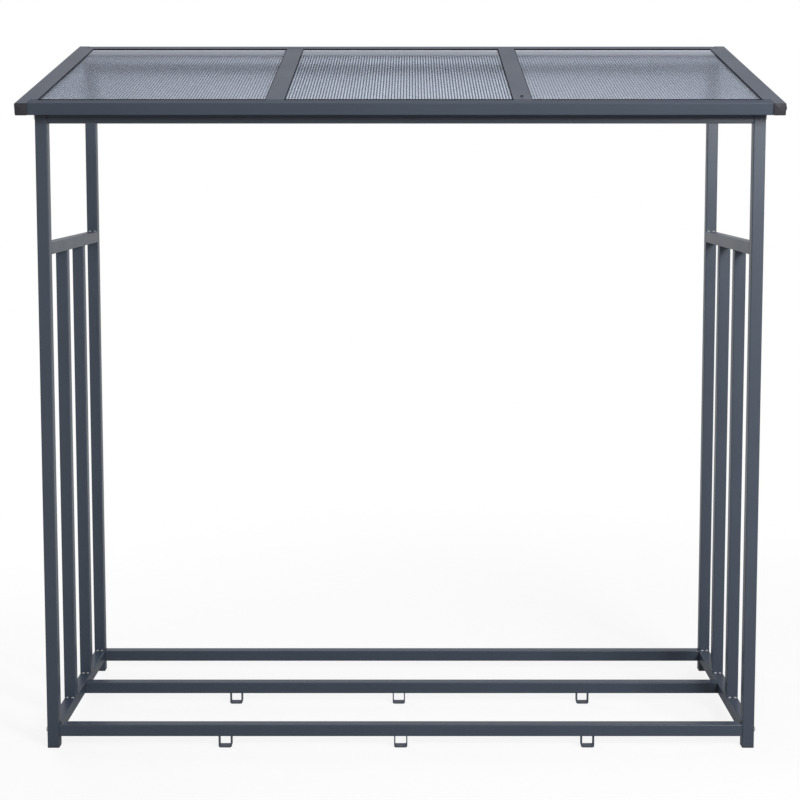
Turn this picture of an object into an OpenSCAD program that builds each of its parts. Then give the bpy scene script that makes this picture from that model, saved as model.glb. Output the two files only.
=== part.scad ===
// Log store: an open frame of square steel tube under a pent roof of twin-wall sheets.
// Millimetres, +Z up, front towards -Y, origin under the middle of the whole store.

/* [Frame] */
// Width over the outer faces of the posts
frame_w = 1492; // [900:1:2400]
// Depth over the outer faces of the posts
frame_d = 552; // [400:1:900]
// Height of the front posts and of the front top beam
front_h = 1336; // [900:1:1900]
// How much higher the back top beam is than the front one
roof_rise = 123; // [60:1:240]
// Side of the square tube
tube = 25; // [20:1:40]
// Wall of the tube
wall = 1; // [0.8:0.1:3]
// Outer corner radius of the tube
corner_r = 2; // [0.5:0.1:4]

/* [Rails] */
// Underside of the bottom rails above the ground
rail_lift = 25; // [18:1:80]
// Top of the side top rails below the top of the front posts
side_rail_drop = 269; // [80:1:500]
// Middle bottom rail behind the middle of the depth
mid_rail_shift = 19; // [-60:1:60]

/* [Roof] */
// Gap between a post and the rafter outside it
rafter_gap = 5.5; // [1:0.5:40]
// Lower front corner of the roof in front of the front posts
front_over = 39.5; // [15:0.5:150]
// Lower back corner of the roof behind the back posts
back_over = 83.5; // [20:0.5:200]
// Width of the fin along the rafters and the front eaves
fin_w = 15; // [8:0.5:30]
// Width of the fin along the back eaves
back_fin_w = 8; // [4:0.5:20]
// Thickness of the fins and of the glazing bars' top plates
fin_t = 2; // [1:0.1:4]
// Radius of the rafter fin's front corner
fin_r = 6; // [1:0.5:8]

/* [Glazing] */
// Width of a glazing bar's top plate
plate_w = 38; // [30:1:60]
// Both glazing bars off their even places, to the right
bar_shift = -3; // [-20:1:20]
// Thickness of a roof sheet
sheet_t = 4; // [3:0.5:10]
// Clearance round a roof sheet
sheet_gap = 1.5; // [0.5:0.1:4]
// Open slot between the sheets' upper edge and the back fin
top_slot = 3; // [1:0.5:10]

/* [Feet] */
// Places of the three feet under the front rail
front_feet = [-371, 0, 395]; // [-600:1:600]
// Places of the three feet under the middle rail
middle_feet = [-377, -6, 413]; // [-600:1:600]
// Width of a bent strap foot
foot_w = 28; // [20:1:60]
// Breadth of the strap
strap_w = 20; // [10:1:24]
// Thickness of the strap
strap_t = 2.5; // [1.5:0.1:5]
// Outer bend radius of the strap
strap_r = 5; // [3:0.5:8]
// Thickness of the plug under a post
plug_t = 3; // [1:0.5:8]
// Thickness of the cap on a rafter's end
cap_t = 2; // [1:0.5:5]
// Length of the stem that holds a plug in a post
stem_l = 14; // [6:1:14]
// Clearance round a stem
stem_gap = 0.3; // [0.1:0.05:1]

/* [Bolts] */
// Diameter of a bolt's shank
bolt_d = 6; // [4:0.5:10]
// Diameter of the holes the bolts pass through
bolt_hole = 6.6; // [5:0.1:11]
// Diameter of a bolt's domed head
head_d = 13; // [10:0.5:20]
// Height of a bolt's domed head
head_h = 4; // [2:0.1:8]
// Reach of a bolt into the tube it draws up
bolt_grip = 12; // [6:1:30]

/* [Hidden] */
$fn = 48;

anthracite = [0.27, 0.29, 0.33];
plastic = [0.16, 0.15, 0.16];
clear_sheet = [0.72, 0.74, 0.80];
plated = [0.80, 0.80, 0.78];

// The roof slope runs over the upper front corners of both top beams.
slope = atan(roof_rise / (frame_d - tube));
rafter_l = (front_over + frame_d + back_over) / cos(slope);
// Front faces of the pieces, from the front of the roof's own box to its back.
roof_front = -front_over - cap_t * cos(slope) - tube * sin(slope);
roof_back = frame_d + back_over + cap_t * cos(slope);
front_y = -(roof_front + roof_back) / 2;
back_y = front_y + frame_d - tube;
mid_y = (front_y + back_y) / 2 + mid_rail_shift;
eaves_z = front_h - corner_r + corner_r / cos(slope) - (front_over + corner_r) * tan(slope);

post_x = frame_w / 2 - tube;
inner_w = frame_w - 2 * tube;
rail_l = frame_d - 2 * tube;
bar_pitch = (frame_d - tube) / 3;
rail_top = rail_lift + tube;
side_rail_z = front_h - side_rail_drop - tube;
front_beam_z = front_h - tube;
back_beam_z = front_beam_z + roof_rise;

rafter_x = frame_w / 2 + rafter_gap;
bar_x = (rafter_x - fin_w + plate_w) / 3 - plate_w / 6;
left_bar_x = -bar_x + bar_shift;
right_bar_x = bar_x + bar_shift;
back_fin_v = rafter_l - tube - back_fin_w;
sheet_top_v = back_fin_v - top_slot;

bore = tube - 2 * wall;
bore_r = max(corner_r - wall, 0.2);
mid_tube = tube / 2;
// A cap's stem stops short of the bolt through the rafter's end.
cap_stem_l = mid_tube - bolt_d / 2 - sheet_gap;
// Height and place along the depth of each bolt on a side.
bolt_sites = [
    [front_y + mid_tube, rail_lift + mid_tube], [front_y + mid_tube, front_beam_z + mid_tube],
    [mid_y + mid_tube, rail_lift + mid_tube],
    [back_y + mid_tube, rail_lift + mid_tube], [back_y + mid_tube, back_beam_z + mid_tube]
];

// A rectangle with round corners, from its lower left corner.
module rounded(w, h, r) {
    translate([r, 0]) square([w - 2 * r, h]);
    translate([0, r]) square([w, h - 2 * r]);
    for (x = [r, w - r], y = [r, h - r]) translate([x, y]) circle(r);
}

// A hollow tube that stands on its end, h deep.
module tube_up(l, h = tube) {
    linear_extrude(l) difference() {
        rounded(tube, h, corner_r);
        translate([wall, wall]) rounded(bore, h - 2 * wall, bore_r);
    }
}

// The same tube laid along the width, and along the depth.
module tube_across(l) rotate([90, 0, 90]) tube_up(l);
module tube_along(l, h = tube) translate([0, l, 0]) rotate([90, 0, 0]) tube_up(l, h);

// Places its children on the sloping underside of the roof frame, front edge at the origin.
module on_roof() translate([0, front_y - front_over, eaves_z]) rotate([slope, 0, 0]) children();

// Everything above the underside of the roof frame.
module above_roof() {
    on_roof() translate([-frame_w, -frame_d, 0]) cube([2 * frame_w, 4 * frame_d, front_h]);
}

// The bolt holes on one side: -1 is the left, 1 the right.
module bolt_holes(side) {
    for (s = bolt_sites)
        translate([side * (post_x + mid_tube), s[0], s[1]])
            rotate([0, 90, 0]) cylinder(d = bolt_hole, h = 2 * tube, center = true);
}

module post(side, y, top) {
    color(anthracite) difference() {
        translate([side > 0 ? post_x : -post_x - tube, y, plug_t]) tube_up(top + tube - plug_t);
        above_roof();
        bolt_holes(side);
    }
}

module side_rail(side, z) {
    color(anthracite) difference() {
        translate([side > 0 ? post_x : -post_x - tube, front_y + tube, z]) tube_along(rail_l);
        bolt_holes(side);
    }
}

module side_bar(side, place) {
    color(anthracite)
        translate([side > 0 ? post_x : -post_x - tube, front_y + place * bar_pitch, rail_top])
            tube_up(side_rail_z - rail_top);
}

module cross_tube(y, z) {
    color(anthracite) translate([-post_x, y, z]) tube_across(inner_w);
}

// A strap bent into a U, open upwards, that carries a rail at its middle.
module strap_foot(x, y) {
    color(anthracite) translate([x - foot_w / 2, y + mid_tube + strap_w / 2, 0]) rotate([90, 0, 0])
        linear_extrude(strap_w) difference() {
            rounded(foot_w, 2 * rail_lift, strap_r);
            translate([strap_t, strap_t])
                rounded(foot_w - 2 * strap_t, 2 * rail_lift, strap_r - strap_t);
            translate([0, rail_lift]) square([foot_w, rail_lift]);
        }
}

// A flat plate with a stem, for the end of an upright tube: plate below, stem above.
module end_plug(t, stem) {
    linear_extrude(t) rounded(tube, tube, corner_r);
    translate([wall + stem_gap, wall + stem_gap, t])
        linear_extrude(stem) rounded(bore - 2 * stem_gap, bore - 2 * stem_gap, bore_r);
}

module post_plug(side, y) {
    color(plastic) translate([side > 0 ? post_x : -post_x - tube, y, 0]) end_plug(plug_t, stem_l);
}

// Caps on the front and the back end of a rafter.
module front_cap(side) {
    color(plastic) on_roof() translate([side > 0 ? rafter_x : -rafter_x - tube, -cap_t, tube])
        rotate([-90, 0, 0]) end_plug(cap_t, cap_stem_l);
}

module back_cap(side) {
    color(plastic) on_roof()
        translate([side > 0 ? rafter_x : -rafter_x - tube, rafter_l + cap_t, 0])
            rotate([90, 0, 0]) end_plug(cap_t, cap_stem_l);
}

// The fin of the right rafter, with its front inner corner rounded.
module rafter_fin() {
    fin_l = back_fin_v - tube - fin_w;
    translate([rafter_x - fin_w, tube + fin_w, tube - fin_t]) linear_extrude(fin_t) {
        translate([fin_r, 0]) square([fin_w + corner_r - fin_r, fin_l]);
        translate([0, fin_r]) square([fin_r, fin_l - fin_r]);
        translate([fin_r, fin_r]) circle(fin_r);
    }
}

module rafter_shape() {
    translate([rafter_x, 0, 0]) tube_along(rafter_l);
    rafter_fin();
}

module left_rafter() color(anthracite) on_roof() mirror([1, 0, 0]) rafter_shape();

module right_rafter() {
    color(anthracite) on_roof() difference() {
        rafter_shape();
        roof_bolt_place() cylinder(d = bolt_hole, h = 3 * tube, center = true);
    }
}

// A glazing bar: a box section under a wide top plate that ends end_gap short of the back fin.
module glazing_bar(x, end_gap) {
    plate_l = back_fin_v - end_gap - tube - fin_w;
    color(anthracite) on_roof() {
        translate([x - mid_tube, tube, 0]) tube_along(rafter_l - 2 * tube, tube - fin_t);
        translate([x - plate_w / 2, tube + fin_w, tube - fin_t]) cube([plate_w, plate_l, fin_t]);
    }
}

// The eaves tubes run between the rafters and carry a fin along the sheets' edge.
module front_eaves() {
    color(anthracite) on_roof() {
        translate([-rafter_x, 0, 0]) tube_across(2 * rafter_x);
        translate([-rafter_x, tube - corner_r, tube - fin_t])
            cube([2 * rafter_x, fin_w + corner_r, fin_t]);
    }
}

module back_eaves() {
    color(anthracite) on_roof() {
        translate([-rafter_x, rafter_l - tube, 0]) tube_across(2 * rafter_x);
        translate([-rafter_x, back_fin_v, tube - fin_t])
            cube([2 * rafter_x, back_fin_w + corner_r, fin_t]);
    }
}

// A roof sheet between two upright faces, under the fins and plates.
module sheet(from, to) {
    front = tube + sheet_gap;
    color(clear_sheet) on_roof() translate([from + sheet_gap, front, tube - fin_t - sheet_t])
        cube([to - from - 2 * sheet_gap, sheet_top_v - front, sheet_t]);
}

// A bolt with its head above the plane z = 0 and its shank below.
module bolt() {
    ball_r = (pow(head_d / 2, 2) + pow(head_h, 2)) / (2 * head_h);
    intersection() {
        translate([0, 0, head_h - ball_r]) sphere(ball_r);
        cylinder(d = head_d, h = head_h);
    }
    translate([0, 0, -tube - bolt_grip]) cylinder(d = bolt_d, h = tube + bolt_grip);
}

module side_bolts(side) {
    color(plated) for (s = bolt_sites)
        translate([side * frame_w / 2, s[0], s[1]]) rotate([0, side * 90, 0]) bolt();
}

module roof_bolt_place() {
    translate([rafter_x + tube, mid_tube, mid_tube]) rotate([0, 90, 0]) children();
}

module roof_bolt() color(plated) on_roof() roof_bolt_place() bolt();

post(-1, front_y, front_h);  // front_left_post
post(1, front_y, front_h);  // front_right_post
post(-1, back_y, front_h + roof_rise);  // back_left_post
post(1, back_y, front_h + roof_rise);  // back_right_post
side_rail(-1, rail_lift);  // left_bottom_rail
side_rail(1, rail_lift);  // right_bottom_rail
side_rail(-1, side_rail_z);  // left_top_rail
side_rail(1, side_rail_z);  // right_top_rail
side_bar(-1, 1);  // left_front_bar
side_bar(-1, 2);  // left_back_bar
side_bar(1, 1);  // right_front_bar
side_bar(1, 2);  // right_back_bar
cross_tube(front_y, rail_lift);  // front_bottom_rail
cross_tube(mid_y, rail_lift);  // middle_bottom_rail
cross_tube(back_y, rail_lift);  // back_bottom_rail
cross_tube(front_y, front_beam_z);  // front_top_beam
cross_tube(back_y, back_beam_z);  // back_top_beam
strap_foot(front_feet[0], front_y);  // front_left_foot
strap_foot(front_feet[1], front_y);  // front_centre_foot
strap_foot(front_feet[2], front_y);  // front_right_foot
strap_foot(middle_feet[0], mid_y);  // middle_left_foot
strap_foot(middle_feet[1], mid_y);  // middle_centre_foot
strap_foot(middle_feet[2], mid_y);  // middle_right_foot
post_plug(-1, front_y);  // front_left_plug
post_plug(1, front_y);  // front_right_plug
post_plug(-1, back_y);  // back_left_plug
post_plug(1, back_y);  // back_right_plug
left_rafter();
right_rafter();
glazing_bar(left_bar_x, top_slot);  // left_glazing_bar
glazing_bar(right_bar_x, 0);  // right_glazing_bar
front_eaves();
back_eaves();
sheet(-rafter_x, left_bar_x - mid_tube);  // left_sheet
sheet(left_bar_x + mid_tube, right_bar_x - mid_tube);  // middle_sheet
sheet(right_bar_x + mid_tube, rafter_x);  // right_sheet
front_cap(-1);  // left_front_cap
front_cap(1);  // right_front_cap
back_cap(-1);  // left_back_cap
back_cap(1);  // right_back_cap
side_bolts(-1);  // left_bolts
side_bolts(1);  // right_bolts
roof_bolt();
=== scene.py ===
import math

import bmesh
import bpy
from mathutils import Matrix, Vector


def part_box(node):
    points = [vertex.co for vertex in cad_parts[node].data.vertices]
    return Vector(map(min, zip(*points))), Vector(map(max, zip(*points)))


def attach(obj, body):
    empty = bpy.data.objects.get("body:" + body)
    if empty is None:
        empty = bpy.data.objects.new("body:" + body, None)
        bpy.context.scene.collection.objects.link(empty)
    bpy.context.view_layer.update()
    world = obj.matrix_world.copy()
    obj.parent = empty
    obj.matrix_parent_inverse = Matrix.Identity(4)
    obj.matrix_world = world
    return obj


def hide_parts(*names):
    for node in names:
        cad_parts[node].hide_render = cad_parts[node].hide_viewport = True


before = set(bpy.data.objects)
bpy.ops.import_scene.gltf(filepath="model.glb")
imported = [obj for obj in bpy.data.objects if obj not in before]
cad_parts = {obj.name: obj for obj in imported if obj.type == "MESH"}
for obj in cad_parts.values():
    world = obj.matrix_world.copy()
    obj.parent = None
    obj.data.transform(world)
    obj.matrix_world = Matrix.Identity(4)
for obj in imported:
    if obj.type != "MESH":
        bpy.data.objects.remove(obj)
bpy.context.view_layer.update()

bl_info = {
    "name": "Log Store",
    "version": (1, 0, 0),
    "blender": (4, 5, 0),
    "location": "View3D > Sidebar > Log Store",
    "description": "Dresses the steel frame, roof glazing and fittings of an open log store",
    "category": "Object",
}

MM = 0.001
BODY = "root"

CORNER = 2 * MM        # rounding of the tubes' long edges
PLATE = 2 * MM         # thickness of the fins and plates that lap the sheets
SLOT = 3 * MM          # open slot between the sheets and the back fin
CLEARANCE = 0.1 * MM   # between a strip on a sheet and the steel beside it
PROUD = 0.12 * MM      # how far the rim of an insert stands out of its tube

X, Y, Z = range(3)
UNDERSIDE, FLUTE, WEB = 1, 2, 3   # a sheet's material slots after its skin

SHEETS = ("left_sheet", "middle_sheet", "right_sheet")
SHEET_FRAME = ("left_rafter", "left_glazing_bar", "right_glazing_bar", "right_rafter")
FRONT_FEET = ("front_left_foot", "front_centre_foot", "front_right_foot")
MIDDLE_FEET = ("middle_left_foot", "middle_centre_foot", "middle_right_foot")
POSTS = ("front_left_post", "front_right_post", "back_left_post", "back_right_post")
POST_PLUGS = ("front_left_plug", "front_right_plug", "back_left_plug", "back_right_plug")
RAFTER_CAPS = ("left_front_cap", "right_front_cap", "left_back_cap", "right_back_cap")
BARS = ("left_front_bar", "left_back_bar", "right_front_bar", "right_back_bar")
SIDE_RAILS = ("left_bottom_rail", "right_bottom_rail", "left_top_rail", "right_top_rail")
CROSS_RAILS = ("front_bottom_rail", "middle_bottom_rail", "back_bottom_rail")
TOP_BEAMS = ("front_top_beam", "back_top_beam")
ROOF_FRAME = ("left_rafter", "right_rafter", "left_glazing_bar", "right_glazing_bar",
              "front_eaves", "back_eaves")
PAINTED = POSTS + BARS + SIDE_RAILS + CROSS_RAILS + TOP_BEAMS + ROOF_FRAME


def size_of(node):
    """The lengths of a node's box along X, Y and Z."""
    low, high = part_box(node)
    return high - low


def roof_slope():
    """How far the roof leans back, from the heights of the beams that carry it."""
    front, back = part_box("front_top_beam"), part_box("back_top_beam")
    return math.atan2(back[1].z - front[1].z, back[0].y - front[0].y)


def roof_frame():
    """The roof's own axes: u along the width, v up the slope and w out of the slope."""
    low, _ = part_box("left_rafter")
    return (Matrix.Translation((0, low.y + TUBE * math.sin(SLOPE), low.z))
            @ Matrix.Rotation(SLOPE, 4, "X"))


TUBE = size_of("front_left_post").x
SLOPE = roof_slope()
ROOF = roof_frame()


def on_slope(deep, high):
    """Length up the slope and thickness out of it of a block whose box is deep by high."""
    cosine, sine = math.cos(SLOPE), math.sin(SLOPE)
    square = cosine * cosine - sine * sine
    return (deep * cosine - high * sine) / square, (high * cosine - deep * sine) / square


# --------------------------------------------------------------------------- shader graphs


class Value:
    """A shader socket that takes part in Python expressions."""

    def __init__(self, graph, socket):
        self.graph = graph
        self.socket = socket

    def math(self, operation, *others):
        return self.graph.node("ShaderNodeMath", {"operation": operation},
                               dict(enumerate((self, *others))))

    def __add__(self, other):
        return self.math("ADD", other)

    __radd__ = __add__

    def __mul__(self, other):
        return self.math("MULTIPLY", other)

    __rmul__ = __mul__

    def __sub__(self, other):
        return self.math("SUBTRACT", other)

    def __rsub__(self, other):
        return self.graph.node("ShaderNodeMath", {"operation": "SUBTRACT"}, {0: other, 1: self})


class Graph:
    """The node tree of one material or world."""

    def __init__(self, owner):
        owner.use_nodes = True
        self.tree = owner.node_tree
        self.tree.nodes.clear()

    def node(self, kind, settings=None, sockets=None, output=0):
        """Adds a node: its settings first, then its sockets, and returns one of its outputs."""
        made = self.tree.nodes.new(kind)
        for name, value in (settings or {}).items():
            if name == "stops":
                self.set_stops(made.color_ramp, value)
            else:
                setattr(made, name, value)
        for name, value in (sockets or {}).items():
            if isinstance(value, Value):
                self.tree.links.new(value.socket, made.inputs[name])
            else:
                made.inputs[name].default_value = value
        return Value(self, made.outputs[output]) if made.outputs else None

    @staticmethod
    def set_stops(ramp, stops):
        while len(ramp.elements) < len(stops):
            ramp.elements.new(1.0)
        for element, (place, grey) in zip(ramp.elements, stops):
            element.position = place
            element.color = (grey, grey, grey, 1.0)

    def object_place(self):
        return self.node("ShaderNodeTexCoord", output="Object")

    def mapping(self, vector, location=(0, 0, 0), rotation=(0, 0, 0), scale=(1, 1, 1)):
        return self.node("ShaderNodeMapping", {}, {"Vector": vector, "Location": location,
                                                   "Rotation": rotation, "Scale": scale})

    def noise(self, vector, scale, detail=2.0, roughness=0.5):
        return self.node("ShaderNodeTexNoise", {}, {"Vector": vector, "Scale": scale,
                                                    "Detail": detail, "Roughness": roughness})

    def ramp(self, value, *stops):
        return self.node("ShaderNodeValToRGB", {"stops": stops}, {"Fac": value})

    def blend(self, factor, first, second):
        """One colour fading to another."""
        return self.node("ShaderNodeMix", {"data_type": "RGBA"},
                         {0: factor, 6: first, 7: second}, 2)

    def bump(self, height, strength, distance):
        return self.node("ShaderNodeBump", {}, {"Height": height, "Strength": strength,
                                                "Distance": distance})

    def principled(self, sockets):
        return self.node("ShaderNodeBsdfPrincipled", {}, sockets)

    def output(self, shader):
        self.node("ShaderNodeOutputMaterial", {}, {"Surface": shader})

    def surface(self, sockets):
        self.output(self.principled(sockets))


def new_material(name):
    return bpy.data.materials.new(name)


def shade(colour, factor, alpha=1.0):
    """A colour made darker or lighter, as four numbers."""
    return (*(part * factor for part in colour[:3]), alpha)


def powder_coat(name, colour, roughness, shine=0.45):
    """Satin polyester powder on steel: cloudy tone, fine speckle and orange peel."""
    material = new_material(name)
    graph = Graph(material)
    place = graph.object_place()
    cloud = graph.noise(place, 7.0, 3.0)
    speckle = graph.noise(place, 900.0, 2.0)
    peel = graph.noise(place, 420.0, 2.0)
    tone = graph.blend(cloud, shade(colour, 0.9), shade(colour, 1.1))
    grain = graph.ramp(speckle, (0.35, 0.0), (0.7, 1.0))
    graph.surface({
        "Base Color": graph.blend(grain * 0.3, tone, shade(colour, 1.35)),
        "Roughness": roughness - 0.06 + cloud * 0.12,
        "Normal": graph.bump(peel, 0.12, 0.3 * MM),
        "Specular IOR Level": shine,
    })
    return material


def moulded_plastic(name, colour, roughness):
    """Dark moulded plastic with a fine spark-eroded texture."""
    material = new_material(name)
    graph = Graph(material)
    place = graph.object_place()
    cloud = graph.noise(place, 60.0, 3.0)
    pits = graph.noise(place, 2200.0, 2.0)
    graph.surface({
        "Base Color": graph.blend(cloud, shade(colour, 0.85), shade(colour, 1.2)),
        "Roughness": roughness - 0.05 + cloud * 0.1,
        "Normal": graph.bump(pits, 0.25, 0.2 * MM),
        "Specular IOR Level": 0.4,
    })
    return material


def zinc_plate(name, colour):
    """Bright zinc on steel, faintly mottled."""
    material = new_material(name)
    graph = Graph(material)
    place = graph.object_place()
    mottle = graph.noise(place, 260.0, 4.0, 0.6)
    scratch = graph.noise(graph.mapping(place, scale=(1.0, 6.0, 1.0)), 900.0, 2.0)
    graph.surface({
        "Base Color": graph.blend(mottle, shade(colour, 0.82), shade(colour, 1.1)),
        "Roughness": 0.12 + mottle * 0.14,
        "Metallic": 1.0,
        "Normal": graph.bump(scratch, 0.1, 0.1 * MM),
    })
    return material


def twin_wall(name, clear, rib, start, pitch, passing, wave, roughness, painted_light_band=None):
    """Clear plastic drawn out in flutes, waved across, with painted shade making it darker where
    a rib meets it.

    The last argument gives a pale band of painted light along the upper edge its colour, its
    cover, and where along Y it starts and is full.
    """
    material = new_material(name)
    graph = Graph(material)
    place = graph.object_place()
    across = graph.node("ShaderNodeSeparateXYZ", {}, {0: place}, "X")
    turn = (across - start) * (2 * math.pi / pitch)
    over_rib = turn.math("COSINE") * 0.5 + 0.5
    cloud = graph.noise(place, 9.0, 3.0)
    fine = graph.noise(graph.mapping(place, scale=(1.0, 0.04, 1.0)), 500.0, 2.0)
    skin = graph.principled({
        # Painted shade: the skin's colour is darkened over each rib, standing in for the rib seen
        # through the skin.
        "Base Color": graph.blend(over_rib + (fine - 0.5) * 0.12, (*clear, 1.0), (*rib, 1.0)),
        "Roughness": roughness + cloud * 0.06,
        "Normal": graph.bump(over_rib, 1.0, wave),
        "Transmission Weight": passing,
        "IOR": 1.03,
    })
    # Painted light: a pale band along the sheet's upper edge, fading in up the slope, with faint
    # painted shade over the ribs.
    if painted_light_band:
        colour, cover, lower, upper = painted_light_band
        along = graph.node("ShaderNodeSeparateXYZ", {}, {0: place}, "Y")
        painted_light_mask = graph.node("ShaderNodeMapRange", {"interpolation_type": "SMOOTHSTEP"},
                          {"Value": along, "From Min": lower, "From Max": upper})
        painted_light_layer = graph.principled({
            "Base Color": graph.blend(over_rib * 0.75 + cloud * 0.25, shade(colour, 1.08),
                                      shade(colour, 0.92)),
            "Roughness": 0.5 + fine * 0.2,
            "Normal": graph.bump(over_rib, 0.5, wave),
        })
        skin = graph.node("ShaderNodeMixShader", {}, {0: painted_light_mask * cover, 1: skin, 2: painted_light_layer})
    graph.output(skin)
    return material


def edge_tape(name, colour):
    """Pale woven tape over the open ends of the flutes."""
    material = new_material(name)
    graph = Graph(material)
    place = graph.object_place()
    cloud = graph.noise(place, 30.0, 3.0)
    weave = graph.noise(graph.mapping(place, scale=(1.0, 0.3, 1.0)), 1400.0, 2.0)
    graph.surface({
        "Base Color": graph.blend(cloud, shade(colour, 0.93), shade(colour, 1.07)),
        "Roughness": 0.6 + weave * 0.2,
        "Normal": graph.bump(weave, 0.3, 0.1 * MM),
    })
    return material


def rubber(name):
    """Black sponge rubber, whose black also serves as painted shade."""
    material = new_material(name)
    graph = Graph(material)
    place = graph.object_place()
    pores = graph.noise(place, 1800.0, 2.0)
    graph.surface({
        "Base Color": graph.blend(pores, (0.004, 0.004, 0.005, 1), (0.014, 0.014, 0.016, 1)),
        "Roughness": 0.85 + pores * 0.1,
        "Normal": graph.bump(pores, 0.4, 0.2 * MM),
        "Specular IOR Level": 0.1,
    })
    return material


# --------------------------------------------------------------------------- mesh helpers


def block(mesh, low, high):
    """A box between two corners; returns its vertices."""
    middle = (Vector(low) + Vector(high)) / 2
    extent = Vector(high) - Vector(low)
    place = Matrix.Translation(middle) @ Matrix.Diagonal((*extent, 1.0))
    return bmesh.ops.create_cube(mesh, size=1.0, matrix=place)["verts"]


def edges_of(verts):
    """The edges whose two ends are both among the vertices."""
    chosen = set(verts)
    return [edge for edge in {edge for vert in verts for edge in vert.link_edges}
            if set(edge.verts) <= chosen]


def reach(edge, axis):
    """How far an edge runs along X, Y or Z."""
    first, second = edge.verts
    return abs(first.co[axis] - second.co[axis])


def round_edges(mesh, edges, radius, segments):
    return bmesh.ops.bevel(mesh, geom=list(edges), offset=radius, offset_type="OFFSET",
                           segments=segments, profile=0.5, affect="EDGES", material=-1,
                           clamp_overlap=True)


def bead(mesh, centre, half):
    """A drop of weld: a ball that reaches half its size each way from its centre."""
    place = Matrix.Translation(centre) @ Matrix.Diagonal((*half, 1.0))
    bmesh.ops.create_uvsphere(mesh, u_segments=12, v_segments=8, radius=1.0, matrix=place)


def ring(mesh, radius, height, sides=24):
    """The edges of a level circle round the Z axis."""
    verts = bmesh.ops.create_circle(mesh, segments=sides, radius=radius,
                                    matrix=Matrix.Translation((0, 0, height)))["verts"]
    return edges_of(verts)


def domed_screw(mesh, place, head_r, head_h, shank_r, shank_l, socket_r):
    """A screw on its head's seat: dome above with a six-sided socket, shank below."""
    made = set(mesh.verts)
    profile = ((1.0, 0.0), (1.0, 0.16), (0.94, 0.42), (0.80, 0.70), (0.60, 0.91), (0.46, 1.0))
    rings = [ring(mesh, shank_r * 0.8, -shank_l), ring(mesh, shank_r, -shank_l + shank_r * 0.4),
             ring(mesh, shank_r, 0.0)]
    rings += [ring(mesh, head_r * wide, head_h * high) for wide, high in profile]
    rings += [ring(mesh, socket_r, head_h, 6), ring(mesh, socket_r, head_h * 0.45, 6)]
    for first, second in zip(rings, rings[1:]):
        bmesh.ops.bridge_loops(mesh, edges=first + second)
    for end in (rings[0], rings[-1]):
        bmesh.ops.contextual_create(mesh, geom=end)
    fresh = [vert for vert in mesh.verts if vert not in made]
    bmesh.ops.transform(mesh, matrix=place, verts=fresh)


def moulded_end(mesh, place, wide, thick, stem_l, gap):
    """A square end plug: its plate lies below z = 0 and its stem stands above."""
    made = set(mesh.verts)
    plate = block(mesh, (0, 0, -thick), (wide, wide, 0))
    corners = [edge for edge in edges_of(plate) if reach(edge, Z) > thick / 2]
    round_edges(mesh, corners, CORNER, 4)
    rims = [edge for edge in mesh.edges
            if edge.verts[0] not in made and reach(edge, Z) < CLEARANCE
            and len(edge.link_faces) == 2 and edge.calc_face_angle(0) > 1.0]
    round_edges(mesh, rims, CORNER / 4, 2)
    stem = block(mesh, (gap, gap, 0), (wide - gap, wide - gap, stem_l))
    upright = [edge for edge in edges_of(stem) if reach(edge, Z) > stem_l / 2]
    round_edges(mesh, upright, CORNER / 2, 2)
    fresh = [vert for vert in mesh.verts if vert not in made]
    bmesh.ops.transform(mesh, matrix=place, verts=fresh)


def insert_rims(mesh, low, high, thick):
    """The rims at both ends of a tube that runs along X between two corners."""
    for x in (low[X], high[X] - thick):
        verts = block(mesh, (x, low[Y] - PROUD, low[Z] - PROUD),
                      (x + thick, high[Y] + PROUD, high[Z] + PROUD))
        lengthwise = [edge for edge in edges_of(verts) if reach(edge, X) > thick / 2]
        round_edges(mesh, lengthwise, 0.8 * CORNER, 3)


def finish_piece(name, mesh, material, replaced=(), crease=32.0):
    """Turns a bmesh into a piece of the store that rides on its body."""
    bmesh.ops.recalc_face_normals(mesh, faces=mesh.faces[:])
    data = bpy.data.meshes.new(name)
    mesh.to_mesh(data)
    mesh.free()
    data.materials.append(material)
    data.shade_smooth()
    data.set_sharp_from_angle(angle=math.radians(crease))
    piece = bpy.data.objects.new(name, data)
    bpy.context.scene.collection.objects.link(piece)
    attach(piece, BODY)
    if replaced:
        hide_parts(*replaced)
    return piece


def paint_node(node, material):
    """Gives a CAD node's own object a better material."""
    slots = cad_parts[node].material_slots
    if not slots:
        raise RuntimeError(f"{node} has no material slot")
    for slot in slots:
        slot.material = material


# --------------------------------------------------------------------------- settings


class LogStoreFrameSettings(bpy.types.PropertyGroup):
    """Finish of the steel frame."""

    paint: bpy.props.FloatVectorProperty(
        name="Paint", description="Colour of the powder coat", subtype="COLOR", size=3,
        min=0.0, max=1.0, default=(0.044, 0.057, 0.080))
    roughness: bpy.props.FloatProperty(
        name="Roughness", description="How dull the powder coat is", min=0.0, max=1.0,
        default=0.34)
    eaves_roughness: bpy.props.FloatProperty(
        name="Eaves roughness", description="How dull the powder coat of the front eaves is",
        min=0.0, max=1.0, default=0.5)
    # Painted highlight: the weld beads are coloured far lighter than the frame's paint so that
    # they look lit.
    weld: bpy.props.FloatVectorProperty(
        name="Weld", description="Colour of the thin powder coat on the weld beads",
        subtype="COLOR", size=3, min=0.0, max=1.0, default=(0.34, 0.345, 0.36))
    bead: bpy.props.FloatProperty(
        name="Weld bead", description="Radius of a weld bead", unit="LENGTH", default=1.9 * MM)
    strap: bpy.props.FloatProperty(
        name="Foot strap", description="Thickness of the strap a foot is bent from",
        unit="LENGTH", default=2.5 * MM)


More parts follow.
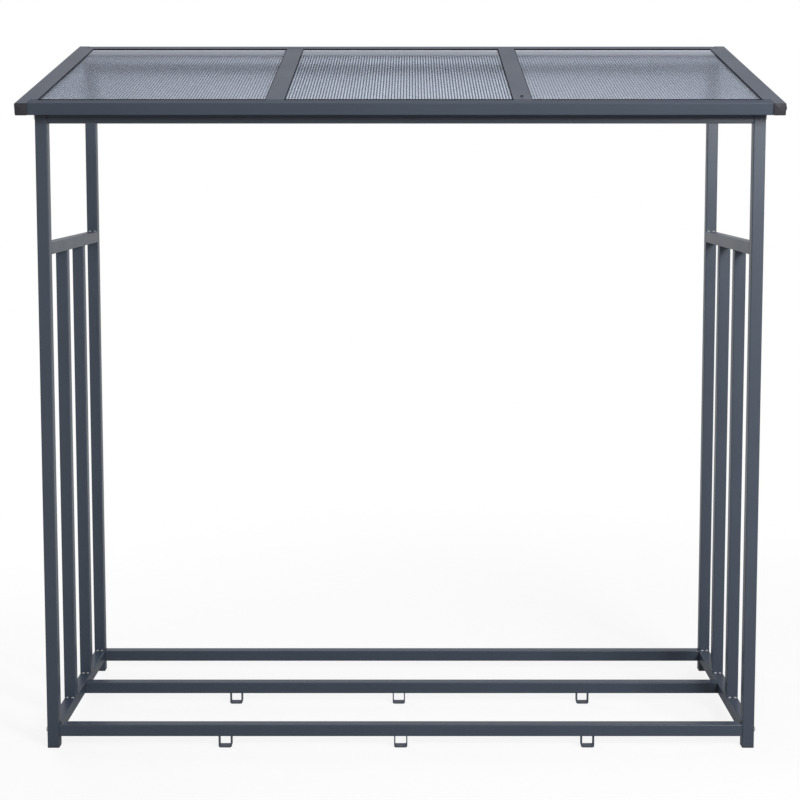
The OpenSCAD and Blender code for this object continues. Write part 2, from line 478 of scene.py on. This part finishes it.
class LogStoreGlazingSettings(bpy.types.PropertyGroup):
    """Roof sheets."""

    clear: bpy.props.FloatVectorProperty(
        name="Clear", description="Colour of a skin between ribs", subtype="COLOR", size=3,
        min=0.0, max=1.0, default=(0.66, 0.705, 0.79))
    # Painted shade: a skin's colour over a rib is darkened to stand in for the rib seen through
    # it.
    rib: bpy.props.FloatVectorProperty(
        name="Rib", description="Colour of a skin over a rib", subtype="COLOR", size=3,
        min=0.0, max=1.0, default=(0.095, 0.115, 0.165))
    # How strongly the painted rib shade shows in the middle sheet; the next setting gives it for
    # the outer sheets.
    middle_rib_shade: bpy.props.FloatProperty(
        name="Middle ribs", description="How much the ribs show in the middle sheet",
        min=0.0, max=1.4, default=1.2)
    web: bpy.props.FloatVectorProperty(
        name="Web", description="Colour of the upright webs inside a sheet", subtype="COLOR",
        size=3, min=0.0, max=1.0, default=(0.66, 0.68, 0.71))
    outer_rib_shade: bpy.props.FloatProperty(
        name="Outer ribs", description="How much the ribs show in the two outer sheets",
        min=0.0, max=1.0, default=0.58)
    roughness: bpy.props.FloatProperty(
        name="Roughness", description="How much a skin blurs what is behind it", min=0.0, max=1.0,
        default=0.22)
    # The gasket's black lip beside a fin is partly painted shade along the fin's edge.
    lip: bpy.props.FloatProperty(
        name="Gasket lip", description="Width of the gasket's lip beside a fin", unit="LENGTH",
        default=1.2 * MM)
    tape: bpy.props.FloatVectorProperty(
        name="Tape", description="Colour of the tape over a sheet's upper edge",
        subtype="COLOR", size=3, min=0.0, max=1.0, default=(0.72, 0.75, 0.85))
    passing: bpy.props.FloatProperty(
        name="Passing", description="Share of the light that goes through a skin",
        min=0.0, max=1.0, default=0.86)
    flute_passing: bpy.props.FloatProperty(
        name="Flute passing", description="Share of the light that goes through inside a flute",
        min=0.0, max=1.0, default=0.97)
    ripple: bpy.props.FloatProperty(
        name="Ripple", description="Rise of the waves on a skin", unit="LENGTH",
        default=0.12 * MM)
    wave: bpy.props.FloatProperty(
        name="Wave", description="Rise of the waves inside the flutes", unit="LENGTH",
        default=0.25 * MM)
    pitch: bpy.props.FloatProperty(
        name="Flute pitch", description="Distance from one rib to the next", unit="LENGTH",
        default=6.2 * MM)
    wall: bpy.props.FloatProperty(
        name="Skin", description="Thickness of a skin and half that of a rib", unit="LENGTH",
        default=0.35 * MM)
    # Painted light: these three give the pale band along each sheet's upper edge its colour,
    # width and cover.
    painted_light_band: bpy.props.FloatVectorProperty(
        name="Frost", description="Colour of the frosted band along the upper edge",
        subtype="COLOR", size=3, min=0.0, max=1.0, default=(0.50, 0.53, 0.605))
    painted_light_band_w: bpy.props.FloatProperty(
        name="Frosted band", description="Width of the frosted band along the upper edge",
        unit="LENGTH", default=100.0 * MM)
    painted_light_band_cover: bpy.props.FloatProperty(
        name="Frost cover", description="How far the frost hides the skin where it is full",
        min=0.0, max=1.0, default=0.86)
    # The gasket along the upper edge fills the slot with black, partly painted shade.
    bulb_w: bpy.props.FloatProperty(
        name="Bulb width", description="Width of the gasket along the upper edge",
        unit="LENGTH", default=8.0 * MM)
    tape_t: bpy.props.FloatProperty(
        name="Tape thickness", description="Thickness of the tape", unit="LENGTH",
        default=0.3 * MM)
    tape_w: bpy.props.FloatProperty(
        name="Tape width", description="Width of the tape over the upper edge",
        unit="LENGTH", default=12.0 * MM)


class LogStoreFittingSettings(bpy.types.PropertyGroup):
    """Plugs, caps, bolts and the screw in the roof."""

    plastic: bpy.props.FloatVectorProperty(
        name="Plastic", description="Colour of plugs and caps", subtype="COLOR", size=3,
        min=0.0, max=1.0, default=(0.026, 0.025, 0.031))
    zinc: bpy.props.FloatVectorProperty(
        name="Zinc", description="Colour of the plated bolts", subtype="COLOR", size=3,
        min=0.0, max=1.0, default=(0.82, 0.82, 0.82))
    black_zinc: bpy.props.FloatVectorProperty(
        name="Black zinc", description="Colour of the bolt and the screw in the roof",
        subtype="COLOR", size=3, min=0.0, max=1.0, default=(0.05, 0.05, 0.055))
    plug: bpy.props.FloatProperty(
        name="Plug plate", description="Thickness of the plate under a post", unit="LENGTH",
        default=3.0 * MM)
    cap: bpy.props.FloatProperty(
        name="Cap plate", description="Thickness of the plate on a rafter's end",
        unit="LENGTH", default=2.0 * MM)
    stem: bpy.props.FloatProperty(
        name="Stem", description="Length of the stem of a plug", unit="LENGTH",
        default=14.0 * MM)
    cap_stem: bpy.props.FloatProperty(
        name="Cap stem", description="Length of the stem of a cap", unit="LENGTH",
        default=9.0 * MM)
    insert: bpy.props.FloatProperty(
        name="Insert rim", description="Thickness of the rim between a cross rail and a post",
        unit="LENGTH", default=1.0 * MM)
    head_r: bpy.props.FloatProperty(
        name="Head radius", description="Radius of a bolt's head", unit="LENGTH",
        default=6.5 * MM)
    head_h: bpy.props.FloatProperty(
        name="Head height", description="Height of a bolt's head", unit="LENGTH",
        default=4.0 * MM)
    shank_r: bpy.props.FloatProperty(
        name="Shank radius", description="Radius of a bolt's shank", unit="LENGTH",
        default=3.0 * MM)
    shank_l: bpy.props.FloatProperty(
        name="Shank length", description="Length of a bolt's shank", unit="LENGTH",
        default=37.0 * MM)
    screw_place: bpy.props.FloatProperty(
        name="Screw place", description="How far the screw in the right glazing bar is up the"
        " slope", unit="LENGTH", default=70.0 * MM)


class LogStoreStageSettings(bpy.types.PropertyGroup):
    """Camera, light and floor."""

    distance: bpy.props.FloatProperty(
        name="Distance", description="Camera in front of the front posts", unit="LENGTH",
        default=3.3992)
    height: bpy.props.FloatProperty(
        name="Height", description="Camera above the floor", unit="LENGTH", default=1.2395)
    aside: bpy.props.FloatProperty(
        name="Aside", description="Camera to the right of the middle", unit="LENGTH",
        default=0.0206)
    pitch: bpy.props.FloatProperty(
        name="Pitch", description="How far the camera looks down", unit="ROTATION",
        default=math.radians(5.29))
    lens: bpy.props.FloatProperty(
        name="Lens", description="Focal length in millimetres", default=74.54)
    shift: bpy.props.FloatVectorProperty(
        name="Shift", description="Lens shift as a share of the frame", size=2,
        default=(-0.0131, -0.11))
    fill: bpy.props.FloatProperty(
        name="Fill", description="Strength of the even light from all round", default=0.33)
    horizon: bpy.props.FloatVectorProperty(
        name="Horizon", description="What gloss shows of the backdrop level with the store",
        subtype="COLOR", size=3, min=0.0, max=1.0, default=(0.67, 0.67, 0.67))
    ceiling: bpy.props.FloatVectorProperty(
        name="Ceiling", description="What gloss shows of the studio above the store",
        subtype="COLOR", size=3, min=0.0, max=1.0, default=(0.45, 0.465, 0.54))
    rear: bpy.props.FloatProperty(
        name="Rear light", description="Power of the light behind on the left, in watts",
        default=75.0)
    back: bpy.props.FloatProperty(
        name="Back light", description="Power of the light high behind, in watts",
        default=1.2)
    left: bpy.props.FloatProperty(
        name="Left light", description="Power of the light in front on the left, in watts",
        default=6.0)
    right: bpy.props.FloatProperty(
        name="Right light", description="Power of the light in front on the right, in watts",
        default=124.0)


# --------------------------------------------------------------------------- pieces


class LOGSTORE_OT_paint_frame(bpy.types.Operator):
    """Powder-coat the tubes of the frame"""

    bl_idname = "log_store.paint_frame"
    bl_label = "Paint Frame"

    def execute(self, context):
        settings = context.scene.log_store_frame
        paint = powder_coat("frame_powder_coat", settings.paint, settings.roughness)
        matt = powder_coat("eaves_powder_coat", settings.paint, settings.eaves_roughness,
                           shine=0.35)
        for node in PAINTED:
            paint_node(node, matt if node == "front_eaves" else paint)
        return {"FINISHED"}


def bent_strap(mesh, node, thick):
    """A strap bent into a U, as wide, deep and high as the node."""
    low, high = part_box(node)
    block(mesh, low, high)
    gone = [face for face in mesh.faces if face.normal.z > 0.5 or abs(face.normal.y) > 0.5]
    bmesh.ops.delete(mesh, geom=gone, context="FACES")
    bends = [edge for edge in mesh.edges
             if all(abs(vert.co.z - low.z) < MM for vert in edge.verts) and reach(edge, Y) > MM]
    round_edges(mesh, bends, 1.6 * thick, 6)
    bmesh.ops.recalc_face_normals(mesh, faces=mesh.faces[:])
    bottom = min(mesh.faces, key=lambda face: face.calc_center_median().z)
    if bottom.normal.z > 0:
        bmesh.ops.reverse_faces(mesh, faces=mesh.faces[:])
    bmesh.ops.solidify(mesh, geom=mesh.faces[:], thickness=thick)


class LOGSTORE_OT_bend_feet(bpy.types.Operator):
    """Bend the strap feet under the front and the middle rail"""

    bl_idname = "log_store.bend_feet"
    bl_label = "Bend Feet"

    def execute(self, context):
        settings = context.scene.log_store_frame
        paint = bpy.data.materials["frame_powder_coat"]
        for node in FRONT_FEET + MIDDLE_FEET:
            mesh = bmesh.new()
            bent_strap(mesh, node, settings.strap)
            finish_piece(f"{node}_strap", mesh, paint, (node,))
        return {"FINISHED"}


def draw_sheet(mesh, width, length, thick, cells, wall):
    """A flat sheet with an open flute in each of its cells, from the origin up the slope."""
    block(mesh, (0, 0, 0), (width, length, thick))
    across = [edge for edge in mesh.edges if reach(edge, X) > width / 2]
    bmesh.ops.subdivide_edges(mesh, edges=across, cuts=cells - 1, use_grid_fill=True)
    ends = [face for face in mesh.faces if abs(face.normal.y) > 0.9]
    bmesh.ops.inset_individual(mesh, faces=ends, thickness=wall, use_even_offset=True)
    pairs = [[] for _ in range(cells)]
    for face in ends:
        pairs[int(face.calc_center_median().x / width * cells)].append(face)
    for pair in pairs:
        rims = [edge for face in pair for edge in face.edges]
        bmesh.ops.delete(mesh, geom=pair, context="FACES_ONLY")
        bmesh.ops.bridge_loops(mesh, edges=rims)


def mark_sides(mesh, width, thick):
    """Sets the material slots of a sheet's underside, of its flutes' insides and of its webs."""
    margin = 2 * CLEARANCE
    for face in mesh.faces:
        middle = face.calc_center_median()
        inside = margin < middle.z < thick - margin and margin < middle.x < width - margin
        if inside and abs(face.normal.y) < 0.5:
            face.material_index = WEB if abs(face.normal.x) > 0.5 else FLUTE
        elif not inside and middle.z < thick / 2:
            face.material_index = UNDERSIDE


def skin_tones(clear, rib, show):
    """A skin's colours between ribs and over them, the darker one over a rib being painted shade,
    drawn apart or together round their mean.
    """
    means = [(one + two) / 2 for one, two in zip(clear, rib)]
    return [[mean + (part - mean) * show for mean, part in zip(means, colour)]
            for colour in (clear, rib)]


def inner_plastics(settings):
    """The plastic of the underside, of the flutes' insides and of the webs, in slot order."""
    inside = (0.0, settings.pitch, settings.flute_passing, settings.wave, 0.10)
    # Painted shade: the underside is a darker copy of the top skin's clear, with faint darker
    # stripes over the ribs.
    under = twin_wall("underside", shade(settings.clear, 0.83)[:3],
                      shade(settings.clear, 0.77)[:3], 0.0, settings.pitch,
                      settings.passing, settings.ripple, settings.roughness)
    flute = twin_wall("flute", (0.96, 0.975, 0.99), (0.94, 0.955, 0.98), *inside)
    web = twin_wall("web", shade(settings.web, 1.04)[:3], shade(settings.web, 0.96)[:3], *inside)
    return under, flute, web


def lay_strips(tapes, gasket_and_shade_strips, settings, near, far, fin, end, top):
    """The tape over a sheet's open flutes and the gasket round the sheet, in the roof's frame.

    They lie on the sheet's top between X near and far, from the front fin to the sheet's end. The
    gasket's black is partly a real gasket and partly painted shade in the slot and along the
    fins.
    """
    lip = settings.lip
    bulb = end - settings.bulb_w
    under_plate = top + PLATE - CLEARANCE
    block(tapes, (near + lip, bulb - settings.tape_w, top),
          (far - lip, bulb, top + settings.tape_t))
    # Black gasket strips in the slot under the back fin, along the front fin and beside the side
    # fins: partly real gasket, partly painted shade.
    block(gasket_and_shade_strips, (near, bulb, top), (far, end + SLOT - 2 * CLEARANCE, under_plate))
    block(gasket_and_shade_strips, (near, fin + CLEARANCE, top), (far, fin + 2 * lip, under_plate + PLATE / 2))
    block(gasket_and_shade_strips, (near, fin, top), (near + lip, end, under_plate))
    block(gasket_and_shade_strips, (far - lip, fin, top), (far, end, under_plate))


class LOGSTORE_OT_draw_sheets(bpy.types.Operator):
    """Draw the fluted roof sheets with painted rib shade and a pale band of painted light, seal
    their upper edges and lay gaskets round them, whose black is partly painted shade
    """

    bl_idname = "log_store.draw_sheets"
    bl_label = "Draw Sheets"

    def execute(self, context):
        settings = context.scene.log_store_glazing
        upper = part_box(SHEETS[0])[1].y
        # The pale band of painted light along the upper edge, fading in over its lower half.
        painted_light_band = (settings.painted_light_band, settings.painted_light_band_cover, upper - settings.painted_light_band_w,
                 upper - settings.painted_light_band_w / 2)
        inner = inner_plastics(settings)
        eaves = size_of("front_eaves")
        fin, _ = on_slope(eaves.y, eaves.z)
        tapes, gasket_and_shade_strips = bmesh.new(), bmesh.new()
        for node, left, right in zip(SHEETS, SHEET_FRAME, SHEET_FRAME[1:]):
            low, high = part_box(node)
            size = high - low
            length, thick = on_slope(size.y, size.z)
            cells = round(size.x / settings.pitch)
            corner = Vector((low.x, low.y + thick * math.sin(SLOPE), low.z))
            mesh = bmesh.new()
            draw_sheet(mesh, size.x, length, thick, cells, settings.wall)
            mark_sides(mesh, size.x, thick)
            bmesh.ops.transform(mesh, matrix=Matrix.Translation(corner)
                                @ Matrix.Rotation(SLOPE, 4, "X"), verts=mesh.verts[:])
            # The middle sheet gets stronger painted rib shade than the two outer sheets.
            show = settings.middle_rib_shade if node == "middle_sheet" else settings.outer_rib_shade
            tones = skin_tones(settings.clear, settings.rib, show)
            skin = twin_wall(f"{node}_skin", *tones, low.x, size.x / cells, settings.passing,
                             settings.ripple, settings.roughness, painted_light_band)
            sheet = finish_piece(f"{node}_glazing", mesh, skin, (node,))
            sheet.visible_shadow = False
            for plastic in inner:
                sheet.data.materials.append(plastic)

            _, start, bottom = ROOF.inverted() @ corner
            lay_strips(tapes, gasket_and_shade_strips, settings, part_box(left)[1].x + CLEARANCE,
                       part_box(right)[0].x - CLEARANCE, fin, start + length, bottom + thick)
        for name, mesh, material, slot in (
                ("sheet_edge_tape", tapes, edge_tape("edge_tape", settings.tape), "glazing"),
                # The black gaskets are partly painted shade.
                ("sheet_gaskets_and_painted_shade", gasket_and_shade_strips, rubber("sponge_rubber_and_painted_shade"), "plastic")):
            bmesh.ops.transform(mesh, matrix=ROOF, verts=mesh.verts[:])
            finish_piece(name, mesh, material)
        return {"FINISHED"}


class LOGSTORE_OT_weld_frame(bpy.types.Operator):
    """Tack the bars, side rails and feet where they meet"""

    bl_idname = "log_store.weld_frame"
    bl_label = "Weld Frame"

    def execute(self, context):
        radius = context.scene.log_store_frame.bead
        beside, out, lift = 5.7 * MM, 0.6 * MM, 0.7 * MM
        middle_y = sum(corner.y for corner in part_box("left_front_bar")) / 2
        mesh = bmesh.new()
        seats = []
        for node in BARS:
            low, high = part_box(node)
            seats += [(low.x, high.x, y, z) for y in (low.y, high.y) for z in (low.z, high.z)]
        for node in SIDE_RAILS:
            low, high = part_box(node)
            seats += [(low.x, high.x, y, high.z) for y in (low.y, high.y)]
        for number, (left, right, y, z) in enumerate(seats):
            for side in (-1, 1):
                sway = math.sin(2.4 * number + side)
                centre = ((left + right) / 2 + side * beside + 0.5 * MM * sway,
                          y + math.copysign(out, y - middle_y), z + lift)
                bead(mesh, centre, (radius * (1.85 + 0.2 * sway), radius, radius * 1.1))
        for node in FRONT_FEET + MIDDLE_FEET:
            low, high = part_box(node)
            for x in (low.x, high.x):
                half = (radius * 0.8, 0.45 * (high.y - low.y), radius * 0.9)
                bead(mesh, (x, (low.y + high.y) / 2, high.z), half)
        # A far lighter, glossier copy of the paint: painted highlight on the beads.
        weld_highlight_coat = powder_coat("weld_painted_highlight_coat", context.scene.log_store_frame.weld, 0.22, 0.6)
        finish_piece("weld_beads", mesh, weld_highlight_coat, crease=80.0)
        return {"FINISHED"}


class LOGSTORE_OT_fit_plugs(bpy.types.Operator):
    """Fit the plugs in the posts, the caps on the rafters and the inserts in the cross rails"""

    bl_idname = "log_store.fit_plugs"
    bl_label = "Fit Plugs"

    def execute(self, context):
        settings = context.scene.log_store_fitting
        plastic = moulded_plastic("black_plastic", settings.plastic, 0.5)
        for node in POST_PLUGS:
            low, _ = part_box(node)
            place = Matrix.Translation((low.x, low.y, low.z + settings.plug))
            self.mould(node, place, settings.plug, settings.stem, plastic)
        rafter = size_of("left_rafter")
        length, _ = on_slope(rafter.y, rafter.z)
        for node in RAFTER_CAPS:
            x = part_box(node)[0].x
            seat, turn = (((x, 0, TUBE), -math.pi / 2) if "front" in node
                          else ((x, length, 0), math.pi / 2))
            place = ROOF @ Matrix.Translation(seat) @ Matrix.Rotation(turn, 4, "X")
            self.mould(node, place, settings.cap, settings.cap_stem, plastic)

        mesh = bmesh.new()
        for node in CROSS_RAILS + TOP_BEAMS:
            insert_rims(mesh, *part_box(node), settings.insert)
        made = set(mesh.verts)
        for node, start in (("front_eaves", 0.0), ("back_eaves", length - TUBE)):
            low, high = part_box(node)
            insert_rims(mesh, (low.x, start, 0.0), (high.x, start + TUBE, TUBE), settings.insert)
        fresh = [vert for vert in mesh.verts if vert not in made]
        bmesh.ops.transform(mesh, matrix=ROOF, verts=fresh)
        finish_piece("rail_inserts", mesh, plastic)
        return {"FINISHED"}

    @staticmethod
    def mould(node, place, thick, stem_l, plastic):
        mesh = bmesh.new()
        moulded_end(mesh, place, TUBE, thick, stem_l, 1.3 * MM)
        finish_piece(f"{node}_moulding", mesh, plastic, (node,))


class LOGSTORE_OT_fit_bolts(bpy.types.Operator):
    """Fit the bolts and the screw in the right glazing bar"""

    bl_idname = "log_store.fit_bolts"
    bl_label = "Fit Bolts"

    def execute(self, context):
        settings = context.scene.log_store_fitting
        size = (settings.head_r, settings.head_h, settings.shank_r, settings.shank_l,
                settings.head_r * 0.36)
        zinc = zinc_plate("zinc_plate", settings.zinc)
        black = zinc_plate("black_zinc", settings.black_zinc)
        for node, side in (("left_bolts", -1), ("right_bolts", 1)):
            mesh = bmesh.new()
            for rail in CROSS_RAILS + TOP_BEAMS:
                low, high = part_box(rail)
                middle = (low + high) / 2
                seat = Matrix.Translation((side * (high.x + TUBE), middle.y, middle.z))
                domed_screw(mesh, seat @ Matrix.Rotation(side * math.pi / 2, 4, "Y"), *size)
            finish_piece(f"{node}_domed", mesh, zinc, (node,))

        mesh = bmesh.new()
        seat = ROOF @ Matrix.Translation((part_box("right_rafter")[1].x, TUBE / 2, TUBE / 2))
        domed_screw(mesh, seat @ Matrix.Rotation(math.pi / 2, 4, "Y"), *size)
        finish_piece("roof_bolt_domed", mesh, black, ("roof_bolt",))

        mesh = bmesh.new()
        low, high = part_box("right_glazing_bar")
        seat = ROOF @ Matrix.Translation(((low.x + high.x) / 2, settings.screw_place, TUBE))
        domed_screw(mesh, seat, head_r=3.6 * MM, head_h=2.4 * MM, shank_r=1.9 * MM,
                    shank_l=12 * MM, socket_r=1.4 * MM)
        finish_piece("glazing_screw", mesh, black)
        return {"FINISHED"}


# --------------------------------------------------------------------------- stage


def rays(graph):
    """1 for a ray from the camera or on through clear plastic, and 1 for one off gloss."""
    camera = graph.node("ShaderNodeLightPath", output="Is Camera Ray")
    through = graph.node("ShaderNodeLightPath", output="Is Transmission Ray")
    return camera.math("MAXIMUM", through), graph.node("ShaderNodeLightPath",
                                                       output="Is Glossy Ray")


def add_softbox(name, place, aim, wide, high, power, gleams=True):
    """A soft area light that faces a point; `gleams` is whether gloss shows it."""
    data = bpy.data.lights.new(name, "AREA")
    data.shape = "RECTANGLE"
    data.size, data.size_y = wide, high
    data.energy = power
    lamp = bpy.data.objects.new(name, data)
    lamp.location = place
    lamp.rotation_euler = (Vector(aim) - Vector(place)).to_track_quat("-Z", "Y").to_euler()
    lamp.visible_camera = False
    lamp.visible_transmission = False
    lamp.visible_glossy = gleams
    bpy.context.scene.collection.objects.link(lamp)


class LOGSTORE_OT_set_stage(bpy.types.Operator):
    """Set up the camera, the light and the floor"""

    bl_idname = "log_store.set_stage"
    bl_label = "Set Stage"

    def execute(self, context):
        scene = context.scene
        settings = scene.log_store_stage

        data = bpy.data.cameras.new("camera")
        data.lens = settings.lens
        data.sensor_width = 36.0
        data.shift_x, data.shift_y = settings.shift
        camera = bpy.data.objects.new("camera", data)
        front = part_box("front_left_post")[0].y
        camera.location = (settings.aside, front - settings.distance, settings.height)
        camera.rotation_euler = (math.pi / 2 - settings.pitch, 0, 0)
        scene.collection.objects.link(camera)
        scene.camera = camera

        self.light_world(scene, settings)
        add_softbox("rear_light", (-2.4, 3.0, 1.5), (0, 0, 0.8), 1.8, 1.8, settings.rear, False)
        add_softbox("back_light", (0.0, 2.6, 2.7), (0, 0.2, 1.3), 3.0, 1.0, settings.back)
        add_softbox("left_light", (-1.9, -3.0, 2.3), (-0.6, -0.2, 1.0), 1.2, 1.2, settings.left)
        add_softbox("right_light", (1.9, -3.0, 2.3), (0.6, -0.2, 1.0), 1.2, 1.2, settings.right)

        scene.view_settings.view_transform = "Standard"

        mesh = bmesh.new()
        bmesh.ops.create_grid(mesh, x_segments=1, y_segments=1, size=60.0)
        data = bpy.data.meshes.new("floor")
        mesh.to_mesh(data)
        mesh.free()
        data.materials.append(self.floor_material())
        floor = bpy.data.objects.new("floor", data)
        scene.collection.objects.link(floor)
        return {"FINISHED"}

    @staticmethod
    def light_world(scene, settings):
        """White behind the store, dimmer overhead in gloss, and an even fill for the rest."""
        scene.world = bpy.data.worlds.new("studio")
        graph = Graph(scene.world)
        seen, gloss = rays(graph)
        way = graph.node("ShaderNodeTexCoord", output="Generated")
        rise = graph.node("ShaderNodeSeparateXYZ", {}, {0: way}, "Z")
        overhead = graph.node("ShaderNodeMapRange", {"interpolation_type": "SMOOTHSTEP"},
                              {"Value": rise, "From Min": 0.16, "From Max": 0.43})
        shown = graph.blend(overhead, (*settings.horizon, 1), (*settings.ceiling, 1))
        hidden = graph.blend(gloss, shade((1, 1, 1), settings.fill), shown)
        light = graph.node("ShaderNodeBackground", {}, {
            "Color": graph.blend(seen, hidden, (1, 1, 1, 1)), "Strength": 1.0})
        graph.node("ShaderNodeOutputWorld", {}, {"Surface": light})

    @staticmethod
    def floor_material():
        material = new_material("pale_floor")
        graph = Graph(material)
        seen, gloss = rays(graph)
        lit = graph.node("ShaderNodeBsdfDiffuse", {}, {
            "Color": graph.blend(seen, (0.42, 0.42, 0.42, 1), (0.92, 0.92, 0.92, 1))})
        white = graph.node("ShaderNodeEmission", {}, {"Color": (1, 1, 1, 1), "Strength": 1.0})
        reach = graph.node("ShaderNodeVectorMath", {"operation": "LENGTH"},
                           {0: graph.object_place()}, "Value")
        clear_of_shade = graph.node("ShaderNodeMapRange", {"interpolation_type": "SMOOTHSTEP"},
                                    {"Value": reach, "From Min": 0.7, "From Max": 2.4})
        # Seen directly the floor is nearly plain white; gloss shows it dimmer near the store, a
        # painted shadow of the store in reflections.
        share = (seen * (0.86 + clear_of_shade * 0.14)
                 + gloss * (1 - seen) * (0.1 + clear_of_shade * 0.42))
        mixed = graph.node("ShaderNodeMixShader", {}, {0: share, 1: lit, 2: white})
        graph.node("ShaderNodeOutputMaterial", {}, {"Surface": mixed})
        return material


class LOGSTORE_PT_panel(bpy.types.Panel):
    """The store's settings and steps"""

    bl_idname = "LOGSTORE_PT_panel"
    bl_label = "Log Store"
    bl_space_type = "VIEW_3D"
    bl_region_type = "UI"
    bl_category = "Log Store"

    def draw(self, context):
        for operator in OPERATORS:
            self.layout.operator(operator.bl_idname)
        for group, _ in GROUPS:
            settings = getattr(context.scene, group)
            box = self.layout.box()
            for name in settings.__annotations__:
                box.prop(settings, name)


GROUPS = (
    ("log_store_frame", LogStoreFrameSettings),
    ("log_store_glazing", LogStoreGlazingSettings),
    ("log_store_fitting", LogStoreFittingSettings),
    ("log_store_stage", LogStoreStageSettings),
)
OPERATORS = (
    LOGSTORE_OT_set_stage,
    LOGSTORE_OT_paint_frame,
    LOGSTORE_OT_bend_feet,
    LOGSTORE_OT_weld_frame,
    LOGSTORE_OT_draw_sheets,
    LOGSTORE_OT_fit_plugs,
    LOGSTORE_OT_fit_bolts,
)


def register():
    for name, settings in GROUPS:
        bpy.utils.register_class(settings)
        setattr(bpy.types.Scene, name, bpy.props.PointerProperty(type=settings))
    for cls in (*OPERATORS, LOGSTORE_PT_panel):
        bpy.utils.register_class(cls)


def unregister():
    for cls in reversed((*OPERATORS, LOGSTORE_PT_panel)):
        bpy.utils.unregister_class(cls)
    for name, settings in reversed(GROUPS):
        delattr(bpy.types.Scene, name)
        bpy.utils.unregister_class(settings)


def main():
    register()
    bpy.ops.log_store.set_stage()
    bpy.ops.log_store.paint_frame()
    bpy.ops.log_store.bend_feet()
    bpy.ops.log_store.weld_frame()
    bpy.ops.log_store.draw_sheets()
    bpy.ops.log_store.fit_plugs()
    bpy.ops.log_store.fit_bolts()


if __name__ == "__main__":
    main()
